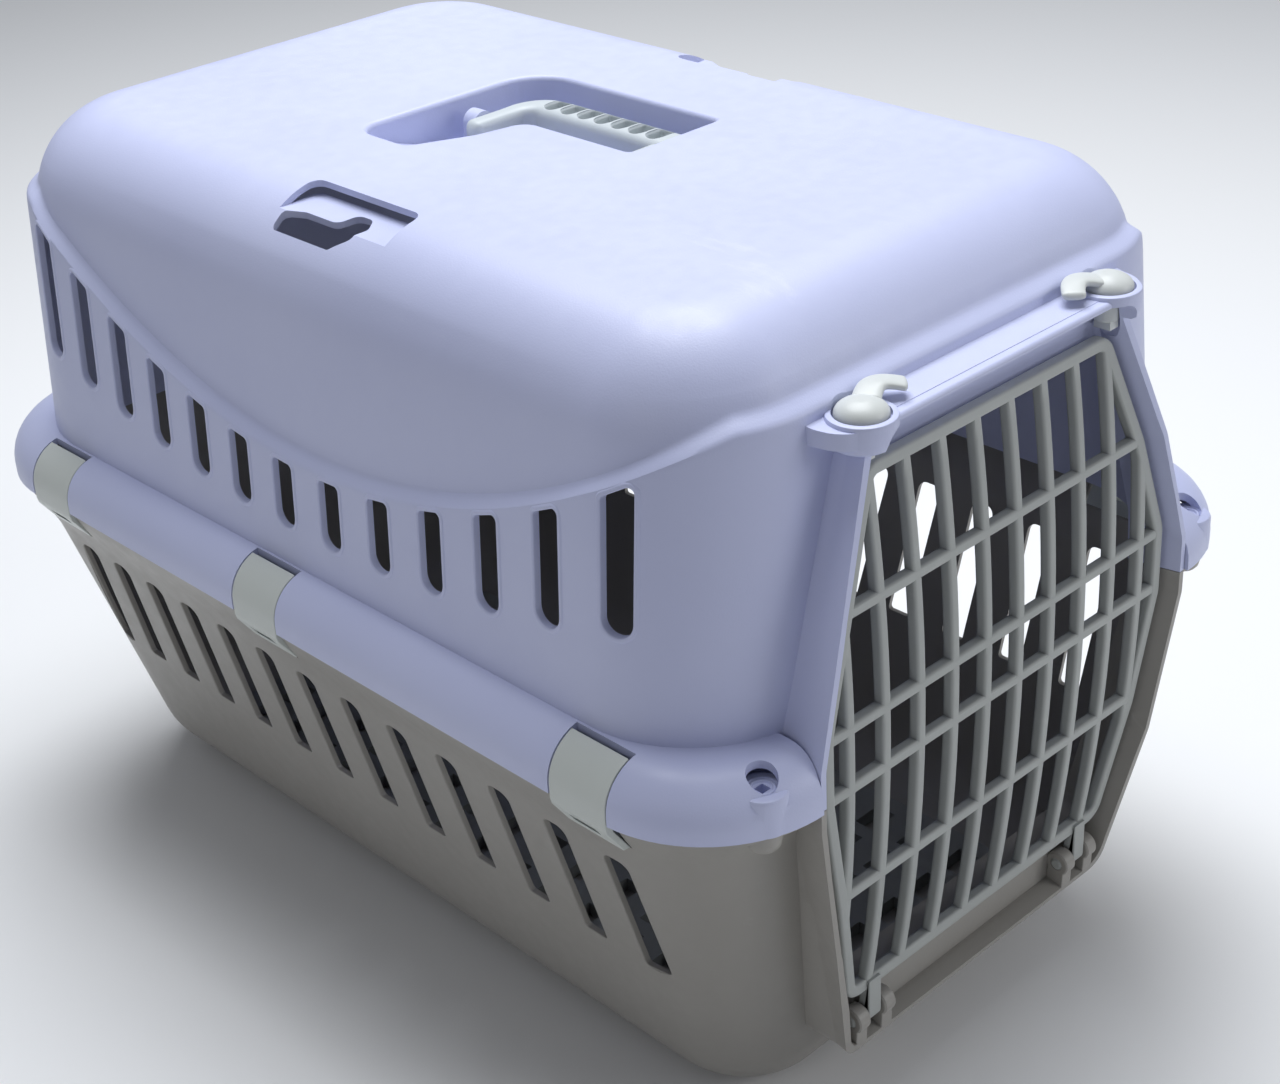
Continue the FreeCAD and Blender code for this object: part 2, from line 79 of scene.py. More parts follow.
def turnOutwards(mesh):
    # doubles merged, then normals made to agree and to give a volume above zero
    work = bmesh.new()
    work.from_mesh(mesh)
    bmesh.ops.remove_doubles(work, verts=work.verts, dist=0.000002)
    bmesh.ops.recalc_face_normals(work, faces=work.faces)
    if work.calc_volume(signed=True) < 0:
        bmesh.ops.reverse_faces(work, faces=work.faces)
    work.to_mesh(mesh)
    work.free()


def tube(name, rings, closeRows=False):
    # rings is rows x columns x 3; a row is a closed loop, and the end rows are capped unless the rows close
    rows, columns = rings.shape[:2]
    caps = [] if closeRows else [list(range(columns)), list(range((rows - 1) * columns, rows * columns))]
    mesh = newMesh(name, rings.reshape(-1, 3), gridFaces(rows, columns, closeRows=closeRows), caps)
    turnOutwards(mesh)
    return newPiece(name, mesh)


def settled(piece):
    # the piece with its modifiers worked in
    graph = bpy.context.evaluated_depsgraph_get()
    mesh = bpy.data.meshes.new_from_object(piece.evaluated_get(graph))
    piece.modifiers.clear()
    piece.data = mesh
    return piece


def combine(piece, tools, operation):
    # one boolean step for each tool, which is then thrown away
    for tool in tools:
        step = piece.modifiers.new("step", "BOOLEAN")
        step.operation = operation
        step.solver = "MANIFOLD"
        step.object = tool
        settled(piece)
        bpy.data.objects.remove(tool)
    return piece


def joined(piece, tools):
    # the piece and the tools together
    return combine(piece, tools, "UNION")


def carved(piece, tools):
    # the piece without the tools' room
    return combine(piece, tools, "DIFFERENCE")


def kept(piece, tools):
    # only what the piece shares with the tools
    return combine(piece, tools, "INTERSECT")


# outlines
def planParameters(straight=10, corner=14):
    # parameters of a rounded rectangle seen from above: angle of its outward normal and
    # where the corner centre lies across (-1..1) and along (0..1)
    ease = np.linspace(0, 1, straight + 1)[:-1]
    turn = np.linspace(0, 1, corner + 1)[:-1]
    angle, across, along = [], [], []
    for k, (x0, x1, w0, w1) in enumerate([(-1, 1, 0, 0), (1, 1, 0, 1), (1, -1, 1, 1), (-1, -1, 1, 0)]):
        base = -math.pi / 2 + k * math.pi / 2
        angle += [np.full(straight, base), base + turn * math.pi / 2]
        across += [x0 + (x1 - x0) * ease, np.full(corner, float(x1))]
        along += [w0 + (w1 - w0) * ease, np.full(corner, float(w1))]
    return np.concatenate(angle), np.concatenate(across), np.concatenate(along)


def planPoints(plan, inset, parameters):
    # corner centre plus corner radius times the normal; plan values and inset may be columns of numbers
    angle, across, along = parameters
    radius = plan["radiusFront"] + (plan["radiusRear"] - plan["radiusFront"]) * along
    inner = np.maximum(radius - inset, 0.5)
    frontCentre = plan["front"] + plan["radiusFront"]
    rearCentre = plan["rear"] - plan["radiusRear"]
    spare = np.minimum(radius - inset - 0.5, 0.0)
    x = across * (plan["half"] - radius + spare) + inner * np.cos(angle)
    y = frontCentre + (rearCentre - frontCentre) * along + inner * np.sin(angle)
    return x, y + spare * np.sin(angle)


def blended(planLow, planHigh, share):
    # straight mix of two plans, value by value
    return {key: planLow[key] + (planHigh[key] - planLow[key]) * share for key in planLow}


def roundedPolygon(corners, radii, steps=6):
    # polygon whose corners are arcs: for each corner, points on the circle that touches both its sides
    points = np.asarray(corners, float)
    radii = np.broadcast_to(np.asarray(radii, float), len(points))
    before = np.roll(points, 1, axis=0) - points
    after = np.roll(points, -1, axis=0) - points
    before /= np.linalg.norm(before, axis=1)[:, None]
    after /= np.linalg.norm(after, axis=1)[:, None]
    half = np.arccos(np.clip((before * after).sum(1), -1, 1)) / 2
    reach = radii / np.tan(half)
    middle = before + after
    middle /= np.linalg.norm(middle, axis=1)[:, None]
    centre = points + middle * (radii / np.sin(half))[:, None]
    start = points + before * reach[:, None] - centre
    end = points + after * reach[:, None] - centre
    a0 = np.arctan2(start[:, 1], start[:, 0])
    sweep = (np.arctan2(end[:, 1], end[:, 0]) - a0 + math.pi) % (2 * math.pi) - math.pi
    share = np.linspace(0, 1, steps)
    angles = a0[:, None] + sweep[:, None] * share
    ring = centre[:, None] + radii[:, None, None] * np.stack([np.cos(angles), np.sin(angles)], -1)
    return ring.reshape(-1, 2)


def grown(loop, by):
    # each point moved outwards along the loop's own normal
    step = np.roll(loop, -1, axis=0) - np.roll(loop, 1, axis=0)
    step /= np.maximum(np.linalg.norm(step, axis=1), 1e-9)[:, None]
    side = np.stack([step[:, 1], -step[:, 0]], -1)
    area = (loop[:, 0] * np.roll(loop[:, 1], -1) - np.roll(loop[:, 0], -1) * loop[:, 1]).sum()
    return loop + side * by * (1 if area > 0 else -1)


def onPlane(loop, plane, level):
    # the outline's two numbers laid on a plane, and its level on the third axis
    level = np.broadcast_to(level, len(loop))
    if plane == "XY":
        return np.stack([loop[:, 0], loop[:, 1], level], -1)
    if plane == "XZ":
        return np.stack([loop[:, 0], level, loop[:, 1]], -1)
    return np.stack([level, loop[:, 0], loop[:, 1]], -1)


def prism(name, loop, plane, low, high, edge=0.0):
    # outline carried straight between two levels, its end edges rounded when edge is above zero
    if edge <= 0:
        return tube(name, np.stack([onPlane(loop, plane, low), onPlane(loop, plane, high)]))
    turn = np.linspace(0, math.pi / 2, 4)
    loops = [(grown(loop, -edge * (1 - math.sin(a))), edge * (1 - math.cos(a))) for a in turn]
    rows = [onPlane(ring, plane, low + rise) for ring, rise in loops]
    rows += [onPlane(ring, plane, high - rise) for ring, rise in loops[::-1]]
    return tube(name, np.stack(rows))


def block(name, x0, x1, y0, y1, z0, z1):
    # plain box, used only to cut or trim
    return prism(name, np.array([(x0, y0), (x1, y0), (x1, y1), (x0, y1)], float), "XY", z0, z1)


def turned(name, centre, axis, profile, steps=40):
    # profile of (radius, place along the axis) carried round the axis
    radius, place = np.array(profile, float).T
    angle = np.linspace(0, 2 * math.pi, steps, endpoint=False)
    a = radius[:, None] * np.cos(angle)
    b = radius[:, None] * np.sin(angle)
    c = np.broadcast_to(place[:, None], a.shape)
    order = {"x": (c, a, b), "y": (a, c, b), "z": (a, b, c)}[axis]
    return tube(name, np.stack(order, -1) + np.asarray(centre, float))


# curves of the carrier
ledge = {"lowest": 231.0, "sweep": 47.5, "ahead": 8.0, "reach": 165.0, "from": -197.0, "to": 175.0}


def ledgeRise(y):
    # parabola along the side: square of the distance from its lowest place, as a share of the reach
    return ((y + ledge["ahead"]) / ledge["reach"]) ** 2


def crestHeight(y):
    # lowest height plus the sweep times the parabola, levelling out at both ends
    return ledge["lowest"] + ledge["sweep"] * ledgeRise(np.clip(y, ledge["from"], ledge["to"]))


def bowY(z, forward=0.0):
    # circle about a line across the carrier, level with the parting line
    reach = bow["radius"] + forward
    return bow["frontY"] + bow["radius"] - np.sqrt(reach ** 2 - (z - carrier["parting"]) ** 2)


def smoothStep(t):
    # three times the square less twice the cube, from 0 to 1
    t = np.clip(t, 0, 1)
    return t * t * (3 - 2 * t)


def slotCentre(index):
    # places from the rear forwards; each step is a little longer than the last
    return 163.5 - 24.6 * index - 0.27 * index ** 2


def wallX(y, z, low, high, zLow, zHigh, proud):
    # half width of a tapered body at a height, less where the plan's corner arcs begin
    plan = blended(low, high, (z - zLow) / (zHigh - zLow))
    radius = np.where(y > 0, plan["radiusRear"], plan["radiusFront"]) + proud
    past = np.maximum(np.maximum(y - (plan["rear"] - plan["radiusRear"]),
                                 plan["front"] + plan["radiusFront"] - y), 0.0)
    return plan["half"] + proud - radius + np.sqrt(np.maximum(radius ** 2 - past ** 2, 1.0))


upperWall = (upperLow, upperHigh, carrier["parting"], carrier["height"])
lowerWall = (lowerLow, lowerHigh, 0.0, carrier["parting"])


# solids both shells are cut from
upperForm = {"roofRadius": 36.0, "panelProud": 4.5, "ledgeSoft": 5.0,
             "wallRows": 30, "filletRows": 14, "filletLead": 17}


def upperBody(name, inset, panel=True):
    # rows climb the tapered wall, bend over the roof's quarter circle and close in the roof's middle;
    # below the swept crest the wall stands proud by a smooth step
    parameters = planParameters(44, 26)
    low, high = carrier["parting"] - (3 if inset else 0), carrier["height"] - inset
    radius = upperForm["roofRadius"] - inset
    bend = high - radius
    first = planPoints(blended(upperLow, upperHigh, 0.5), 0, parameters)
    crest = crestHeight(first[1]) - inset * 0.5
    soft = upperForm["ledgeSoft"]
    lead = upperForm["filletLead"]
    marks = np.stack([np.full_like(crest, low), crest - soft, crest + soft, np.full_like(crest, bend + lead)])
    counts = [upperForm["wallRows"], 10, 9]
    heights = np.concatenate([marks[i] + (marks[i + 1] - marks[i]) * np.linspace(0, 1, n + 1)[:n, None]
                              for i, n in enumerate(counts)])
    startAngle = math.asin(lead / radius)
    turn = np.linspace(startAngle, math.pi / 2, upperForm["filletRows"])[:, None]
    fillet = np.broadcast_to(bend + radius * np.sin(turn), (len(turn), heights.shape[1]))
    heights = np.vstack([heights, fillet])
    over = np.clip(heights - bend, 0, radius)
    curl = radius - np.sqrt(np.maximum(radius ** 2 - over ** 2, 0))
    curl[-1] = radius
    share = (heights - carrier["parting"]) / (carrier["height"] - carrier["parting"])
    plan = blended(upperLow, upperHigh, share)
    proud = 0.0
    if panel:
        proud = upperForm["panelProud"] * smoothStep((crest + soft / 2 - heights) / soft)
    x, y = planPoints(plan, inset + curl - proud, parameters)
    rings = np.stack([x, y, heights], -1)
    middle = np.array([0.0, 0.0, high])
    cap = [rings[-1] + (middle - rings[-1]) * share for share in (0.35, 0.7, 0.97)]
    floor = [rings[0] * [share, share, 1] for share in (0.4, 0.8)]
    return tube(name, np.concatenate([np.stack(floor), rings, np.stack(cap)]))


lowerForm = {"baseRadius": 26.0, "cove": 4.6, "coveFrom": 138.0, "coveTo": 163.0, "rows": 30}


def lowerBody(name, inset, top):
    # rows of the bowl: floor, quarter circle, then the leaning wall up to the rim
    parameters = planParameters(30, 20)
    radius = lowerForm["baseRadius"] - inset
    turn = np.linspace(0, math.pi / 2, 12)[:, None]
    wall = np.linspace(inset + radius, top, lowerForm["rows"])[1:, None]
    heights = np.concatenate([inset + radius * (1 - np.cos(turn)), wall])
    curl = np.concatenate([radius * (1 - np.sin(turn)), np.zeros_like(wall)])
    plan = blended(lowerLow, lowerHigh, heights / carrier["parting"])
    coveSpan = lowerForm["coveTo"] - lowerForm["coveFrom"]
    cove = lowerForm["cove"] * smoothStep((heights - lowerForm["coveFrom"]) / coveSpan)
    x, y = planPoints(plan, inset + curl - cove, parameters)
    rings = np.stack([x, y, np.broadcast_to(heights, x.shape)], -1)
    floor = [rings[0] * [share, share, 1] for share in (0.05, 0.6)]
    return tube(name, np.concatenate([np.stack(floor), rings]))


def railSlab(name, inset):
    # the rim rail as a full slab: upright side, quarter circle, flat top
    parameters = planParameters(30, 20)
    radius = rail["round"] - inset
    turn = np.linspace(0, math.pi / 2, 10)[:, None]
    top = carrier["parting"] + rail["height"] - inset
    low = carrier["parting"] - (1 if inset else 0)
    heights = np.concatenate([[[low]], top - radius + radius * np.sin(turn)])
    curl = np.concatenate([[[0.0]], radius * (1 - np.cos(turn))])
    x, y = planPoints(rail, inset + curl, parameters)
    return tube(name, np.stack([x, y, np.broadcast_to(heights, x.shape)], -1))


door = {"pitch": 18.18, "thick": 5.0, "bar": 4.4, "gap": 1.5,
        "outline": [(66, 270.5), (83, 224), (95.5, 184), (95.5, 157), (86.5, 110), (76, 57.5)],
        "radii": [6, 20, 12, 12, 20, 6], "topLean": 0.36, "apronHalf": 73, "behindTop": 263.0}
hood = {"visor": 287.0, "apronRear": 35.0, "flareY": -211.0, "stopY": -208.5, "lipForward": 5.0,
        "lip": [(68, 288), (91, 228), (104.5, 176), (104.5, 154), (94, 84), (78, 27)],
        "radii": [6, 30, 14, 14, 30, 18]}


def bothHalves(right, radii, steps=8):
    # right half and its mirror as one outline with arcs at the corners
    right = np.asarray(right, float)
    loop = np.concatenate([right, right[::-1] * [-1, 1]])
    return roundedPolygon(loop[::-1], np.concatenate([radii, radii[::-1]])[::-1], steps)


def doorLoop(grow=0.0, top=None, bottom=None):
    # the barrel outline, grown sideways, with its top or bottom edge moved when one is given
    right = np.array(door["outline"], float)
    right[:, 0] += grow
    right[0, 1] += grow
    right[-1, 1] -= grow
    if top is not None:
        right[0] = (right[0, 0] - (top - right[0, 1]) * door["topLean"], top)
    if bottom is not None:
        right[-1] = (door["apronHalf"] + grow, bottom)
    return bothHalves(right, door["radii"])


def lipLoop(inset=0.0):
    # outline of the surround's front edge
    right = np.array(hood["lip"], float)
    right[:, 0] -= inset
    right[0, 1] -= inset
    right[-1, 1] += inset
    return bothHalves(right, hood["radii"])


def hoodForm(name, inset):
    # ruled surface between the doorway's outline and the lip's outline, stopped where it meets the bow
    rear = doorLoop(door["gap"] + carrier["skin"] - inset, hood["visor"] - inset, hood["apronRear"] + inset)
    lip = lipLoop(inset)
    reach = bow["frontY"] - 12 - hood["flareY"]
    rows = [onPlane(rear, "XZ", -188.0), onPlane(rear, "XZ", hood["flareY"])]
    share = np.full(len(rear), 0.5)
    for _ in range(8):
        z = rear[:, 1] + (lip[:, 1] - rear[:, 1]) * share
        share = np.clip((bowY(z, hood["lipForward"]) - hood["flareY"]) / reach, 0.02, 0.98)
    if inset:
        rows += [onPlane(rear + (lip - rear) * s, "XZ", hood["flareY"] + reach * s) for s in (0.5, 1.0)]
        return tube(name, np.stack(rows))
    for part in np.linspace(0.25, 1, 5):
        s = (share * part)[:, None]
        last = rear + (lip - rear) * s
        rows.append(onPlane(last, "XZ", hood["flareY"] + reach * s[:, 0]))
    for size in (0.8, 0.5, 0.2, 0.02):
        loop = last * [size, size] + np.array([0, 164.0 * (1 - size)])
        rows.append(onPlane(loop, "XZ", bowY(loop[:, 1], hood["lipForward"])))
    return tube(name, np.stack(rows))


def slotCutter(name, side, corners, radius, wall, proud, flare=0.6):
    # stadium outline carried through the wall, opening out on a quarter circle at the outer face
    loop = roundedPolygon(corners, radius, 9)
    steps = [(3.0, flare + 0.1)] + [(-flare * (1 - math.cos(a)), flare * (1 - math.sin(a)))
                                    for a in np.linspace(0, math.pi / 2, 5)] + [(-9.0, 0.0)]
    rows = []
    for depth, grow in steps:
        ring = grown(loop, grow)
        x = wallX(ring[:, 0], ring[:, 1], *wall, proud) + depth
        rows.append(np.stack([side * x, ring[:, 0], ring[:, 1]], -1))
    return tube(name, np.stack(rows))


def slotRim(name, side, corners, radius, wall, proud, width=1.5, raised=0.45):
    # low half-round bead round a slot, drawn as a plate with sloping edges
    loop = roundedPolygon(corners, radius, 9)
    rows = []
    steps = [(-1.2, width + 0.7), (0.0, width + 0.3), (raised * 0.7, width), (raised, width - 0.4)]
    for depth, grow in steps:
        ring = grown(loop, grow)
        x = wallX(ring[:, 0], ring[:, 1], *wall, proud) + depth
        rows.append(np.stack([side * x, ring[:, 0], ring[:, 1]], -1))
    return tube(name, np.stack(rows))


slots = {"half": 5.75, "count": 13, "upperRound": [5.6, 5.6, 2.0, 2.0], "lowerRound": [1.5, 1.5, 4.0, 4.0],
         "upperLow": 200.0, "upperLowSweep": 22.5, "upperTop": 226.8, "lean": 14.0, "low": 76.0, "top": 135.5}


def upperSlotCorners(i):
    # round below, with a top edge that follows the ledge
    y, half = slotCentre(i), slots["half"]
    low = slots["upperLow"] + slots["upperLowSweep"] * ledgeRise(y)
    top = [slots["upperTop"] + ledge["sweep"] * ledgeRise(y + step) for step in (half, -half)]
    return [(y - half, low), (y + half, low), (y + half, top[0]), (y - half, top[1])]


def lowerSlotCorners(i):
    # round above, flat below, leaning more towards the rear
    y, half = slotCentre(i) * 0.985 + 0.5, slots["half"] - 0.1
    lean = slots["lean"] * (slots["count"] - 1 - i) / (slots["count"] - 1)
    low, top = slots["low"], slots["top"]
    return [(y + lean - half, low), (y + lean + half, low), (y + half, top), (y - half, top)]


def doorwayTools(tag):
    # what clears the doorway: ahead of the door, inside the surround, and through the wall behind it
    ahead = doorLoop(door["gap"], hood["visor"] - carrier["skin"])
    behind = doorLoop(door["gap"], door["behindTop"])
    inside = hoodForm("hoodInside" + tag, carrier["skin"])
    kept(inside, [block("front" + tag, -200, 200, -260, hood["stopY"], 0, 400)])
    return [prism("ahead" + tag, ahead, "XZ", bow["frontY"] - 20, hood["stopY"]), inside,
            prism("behind" + tag, behind, "XZ", hood["stopY"] - 1, -170)]


clips = {"places": {"rear": 158.0, "middle": 12.0, "front": -168.0}, "width": 27.0, "gap": 0.5, "thick": 3.0,
         "reach": 12.0, "drop": 14.0, "notch": 3.0, "lean": 7.5, "edge": 0.45, "slotHalf": 6.5,
         "slotLow": 9.3, "slotHigh": 5.2}


def clipSpace(name, place, side, widen):
    # box that a clip takes up, with a gap round it and a notch behind when widened
    y, half = clips["places"][place], clips["width"] / 2 + widen
    notch = clips["notch"] if widen else 0.0
    x = sorted((side * (rail["half"] - clips["reach"] - notch), side * (rail["half"] + 5)))
    return block(name, x[0], x[1], y - half, y + half, carrier["parting"] - clips["drop"] - widen,
                 carrier["parting"] + rail["height"] + 5)


def clipSpaces(tag, widen):
    # the same box at all six places
    return [clipSpace(f"clip{tag}{side}{place}", place, side, widen)
            for side in (-1, 1) for place in clips["places"]]


def frontGap(name):
    # the doorway's width through the rail and the rim
    return prism(name, lipLoop(1.0), "XZ", bow["frontY"] - 20, -150)


# upper shell
recess = {"floor": 297.0, "lip": 2.2, "foot": 4.0, "radii": [2.5, 20, 10, 5, 12, 9, 2.5],
          "outline": [(45, -47), (45, 56), (-48, 58), (-48, 27), (-24, 15.5), (-1.6, 11), (-1.6, -47)],
          "wedge": [(-70, 322), (-14, 304), (-8, 300), (-4, 287), (-70, 287)]}
visor = {"half": 82, "hollowHalf": 60, "radii": [0.1, 13, 1.6, 0.1, 0.1],
         "side": [(-190, 306), (-201, 287), (-221, 287), (-221, 281), (-190, 281)],
         "plan": [(-79, -222), (79, -222), (86, -180), (-86, -180)],
         "hollow": [(-190, 298), (-200, 284.5), (-206, 284.5), (-206, 270), (-190, 270)]}
latches = {"x": 65.0, "y": -213.0,
           "boss": [(9.0, 277.5), (11.3, 279), (11.9, 281.5), (11.9, 287.6), (11.6, 288.3), (10.9, 288.6),
                    (9.9, 288.6), (8.0, 288.0)],
           "seat": [(9.7, 286.4), (9.7, 299)], "stemHole": [(3.58, 262), (3.58, 300)],
           "footHole": [(4.8, 268), (4.8, 283.9)]}
pins = {"x": 119.5, "y": -218.0, "boss": [(9.0, 164), (9.0, 176.8), (8.5, 177.8), (7.4, 178.2)],
        "seat": [(4.75, 172), (4.75, 177.5), (5.3, 178.3), (5.4, 194)], "bore": [(2.1, 160), (2.1, 194)],
        "socket": [(2.5, 154.2), (4.6, 154.8), (5.8, 156.2), (6.3, 158.5)], "socketRadius": 6.5}
handle = {"x": 3.5, "z": 311.0, "gripX": 26.0, "front": -44.0, "rear": 38.0,
          "post": 6.5, "rearPost": 5.2, "rearFrom": 42.9, "rearTo": 49.7, "bore": 3.08}
belt = {"pocket": [(-140, -37), (-92, -37), (-92, 24), (-140, 24)], "pocketRadii": [0.1, 5, 5, 0.1],
        "floor": [(-126, -38), (-91, -38), (-91, 25), (-126, 25)],
        "gap": [(-117, 21), (-111, 21), (-107, 12), (-107, -6), (-97, -6), (-97, -14), (-104, -20),
                (-112, -20), (-117, -12)],
        "gapRadii": [2, 2, 3, 3, 3, 5, 5, 3, 3], "depth": 6, "thick": 2.5}


def recessLoop(grow=0.0):
    # the handle recess seen from above: a long arm and a short one
    return grown(roundedPolygon(recess["outline"], recess["radii"], 8), grow)


def recessForm(name, grow, top):
    # outline carried down: a rounded lip, an upright wall, a rounded foot, a flat floor;
    # a wedge is then taken off under the short arm, so that its floor climbs
    floor, lip, foot = recess["floor"] - grow, recess["lip"], recess["foot"]
    rows = [(top, 0.0 if grow else lip + 0.1)]
    if not grow:
        rows += [(carrier["height"] - lip * (1 - math.cos(a)), lip * (1 - math.sin(a)))
                 for a in np.linspace(0, math.pi / 2, 6)]
    rows += [(floor + foot * (1 - math.sin(a)), -foot * (1 - math.cos(a)))
             for a in np.linspace(0, math.pi / 2, 7)]
    form = tube(name, np.stack([onPlane(recessLoop(grow + out), "XY", height) for height, out in rows]))
    wedge = np.array(recess["wedge"], float)
    wedge[:3, 1] -= grow
    return carved(form, [prism(name + "Wedge", wedge, "XZ", 0, 75)])


def upright(name, profile, place, side):
    # a profile turned about an upright line at a place and its mirror
    return turned(name, (side * place["x"], place["y"], 0), "z", profile)


def makeVisor():
    # side outline carried across, trimmed to a plan with rounded corners
    shelf = prism("visorShelf", roundedPolygon(visor["side"], visor["radii"], 12), "YZ",
                  -visor["half"], visor["half"])
    plan = roundedPolygon(visor["plan"], [14, 14, 0.1, 0.1], 9)
    return kept(shelf, [prism("visorPlan", plan, "XY", 200, 330)])


def carveBeltPocket(shell, side):
    # a step in the roof's edge with its own floor, and a hooked opening through that floor
    top, depth = carrier["height"], belt["depth"]
    mirror = [-side, 1]
    pocket = roundedPolygon(belt["pocket"], belt["pocketRadii"], 7) * mirror
    pocket = pocket if side < 0 else pocket[::-1]
    floorLoop = roundedPolygon(belt["floor"], 3, 4) * mirror
    gap = roundedPolygon(belt["gap"], belt["gapRadii"], 6) * mirror
    carved(shell, [prism(f"pocket{side}", pocket, "XY", top - depth, top + 5)])
    plate = prism(f"pocketFloor{side}", floorLoop, "XY", top - depth - belt["thick"], top - depth)
    joined(shell, [kept(plate, [upperBody(f"plateTrim{side}", 0.05, False)])])
    carved(shell, [prism(f"pocketGap{side}", gap, "XY", top - 20, top + 5)])


def makeUpperShell():
    # cover, rail, surround, visor and bosses joined, then hollowed, slotted and fitted with the recess
    top, skin = carrier["height"], carrier["skin"]
    shell = upperBody("upperShell", 0.0)
    cover = hoodForm("hoodUpper", 0.0)
    kept(cover, [block("hoodUpperHalf", -200, 200, -260, 0, carrier["parting"], 340)])
    ring = railSlab("railOuter", 0.0)
    carved(ring, [railSlab("railInner", clips["thick"]), frontGap("railGap")])
    shelf = makeVisor()
    bosses = [upright(f"latchBoss{side}", latches["boss"], latches, side) for side in (-1, 1)]
    bosses += [upright(f"pinBoss{side}", pins["boss"], pins, side) for side in (-1, 1)]
    joined(shell, [ring, cover, shelf] + bosses)
    proud, roundness = upperForm["panelProud"], slots["upperRound"]
    joined(shell, [slotRim(f"rim{side}{i}", side, upperSlotCorners(i), roundness, upperWall, proud)
                   for side in (-1, 1) for i in range(slots["count"])])
    carved(shell, [upperBody("upperInside", skin)])
    hollow = prism("visorHollow", roundedPolygon(visor["hollow"], [0.1, 4, 0.1, 0.1, 0.1], 6), "YZ",
                   -visor["hollowHalf"], visor["hollowHalf"])
    carved(shell, [hollow] + doorwayTools("Upper"))
    joined(shell, [kept(recessForm("pan", skin, top - 0.4), [upperBody("panTrim", 0.1, False)])])
    x, z, post = handle["x"], handle["z"], handle["post"]
    joined(shell, [block("frontPost", x - post, x + post, -56, -47, 295, 318.5)])
    carved(shell, [recessForm("recessCut", 0.0, top + 8)])
    post, near, far = handle["rearPost"], handle["rearFrom"], handle["rearTo"]
    rear = block("rearPost", x - post, x + post, near, far, 295.5, z)
    joined(rear, [turned("rearCrown", (x, 0, z), "y", [(post, near), (post, far)])])
    joined(shell, [rear])
    bore = handle["bore"]
    carved(shell, [block("legSlot", x - 19, x - 7, 32.5, 44.5, 280, top - 2),
                   turned("pinHole", (x, 0, z), "y", [(bore, -55), (bore, 48.9)])])
    carved(shell, [slotCutter(f"slot{side}{i}", side, upperSlotCorners(i), roundness, upperWall, proud + 0.4)
                   for side in (-1, 1) for i in range(slots["count"])])
    for side in (-1, 1):
        carveBeltPocket(shell, side)
    carved(shell, clipSpaces("Upper", clips["gap"]))
    for side in (-1, 1):
        carved(shell, [upright(f"seat{side}", latches["seat"], latches, side),
                       upright(f"stemHole{side}", latches["stemHole"], latches, side),
                       upright(f"foot{side}", latches["footHole"], latches, side)])
        carved(shell, [upright(f"pinSeat{side}", pins["seat"], pins, side),
                       upright(f"pinBore{side}", pins["bore"], pins, side)])
    return shell


# lower shell
rim = {"half": 151.5, "front": -226.5, "rear": 227.5, "radiusFront": 48.0, "radiusRear": 56.0}
hinge = {"x": 62.0, "y": -213.0, "z": 46.0, "spread": 7, "bore": 2.68, "boreHalf": 13,
         "stalk": [(-216, 34), (-208, 34), (-209, 46), (-216.5, 46)]}


def makeRimStrip(top):
    # plan of the rim carried up over a rounded lower edge, open at the doorway
    parameters = planParameters(30, 20)
    rows = []
    for z, inset in [(160, 1.0), (160.4, 0.3), (161, 0.0), (top, 0.0)]:
        x, y = planPoints(rim, inset, parameters)
        rows.append(np.stack([x, y, np.full_like(x, z)], -1))
    return carved(tube("rimStrip", np.stack(rows)), [frontGap("rimGap")])


def makeHingeLug(x):
    # round eye on a tapered stalk
    y, z = hinge["y"], hinge["z"]
    lug = turned(f"lug{x}", (0, y, z), "x", [(4.6, x - 3), (5.2, x - 2.4), (5.2, x + 2.4), (4.6, x + 3)])
    foot = roundedPolygon(hinge["stalk"], 0.5, 3)
    return joined(lug, [prism(f"stalk{x}", foot, "YZ", x - 3, x + 3, edge=0.5)])


def makeLowerShell():
    # bowl, surround, rim and sockets joined, then hollowed and slotted; the hinge lugs come last
    skin, rimTop = carrier["skin"], carrier["parting"] - 0.3
    shell = lowerBody("lowerShell", 0.0, rimTop)
    apron = hoodForm("hoodLower", 0.0)
    kept(apron, [block("hoodLowerHalf", -200, 200, -260, 0, 0, rimTop)])
    strip = makeRimStrip(rimTop)
    socket = pins["socket"] + [(pins["socketRadius"], rimTop)]
    joined(shell, [apron, strip] + [upright(f"bossEnd{side}", socket, pins, side) for side in (-1, 1)])
    carved(shell, [lowerBody("lowerInside", skin, rimTop + 3)] + doorwayTools("Lower"))
    roundness = slots["lowerRound"]
    carved(shell, [slotCutter(f"lowSlot{side}{i}", side, lowerSlotCorners(i), roundness, lowerWall, 0.0)
                   for side in (-1, 1) for i in range(slots["count"])])
    for side in (-1, 1):
        x, y, z = side * hinge["x"], hinge["y"], hinge["z"]
        for place in (x - hinge["spread"], x + hinge["spread"]):
            joined(shell, [makeHingeLug(place)])
        reach, bore = hinge["boreHalf"], hinge["bore"]
        carved(shell, [turned(f"hingeBore{side}", (0, y, z), "x", [(bore, x - reach), (bore, x + reach)]),
                       block(f"armRoom{side}", x - 3.9, x + 3.9, -243, -208.5, 41.5, 66)])
    carved(shell, clipSpaces("Lower", clips["gap"]))
    return shell


def carriedSection(name, path, sections, close=False):
    # one closed section stands at each place of the path: place plus the section's own offsets
    return tube(name, path[:, None, :] + sections, closeRows=close)


def barSection(width, thick, corner, steps=4):
    # flat bar with rounded corners
    w, t = width / 2, thick / 2
    return roundedPolygon([(-w, -t), (w, -t), (w, t), (-w, t)], corner, steps)


grille = {"rim": 5.2, "round": 1.3, "columns": 10, "levels": [224.3, 182.3, 158.7, 112.8], "armHalf": 3.4}


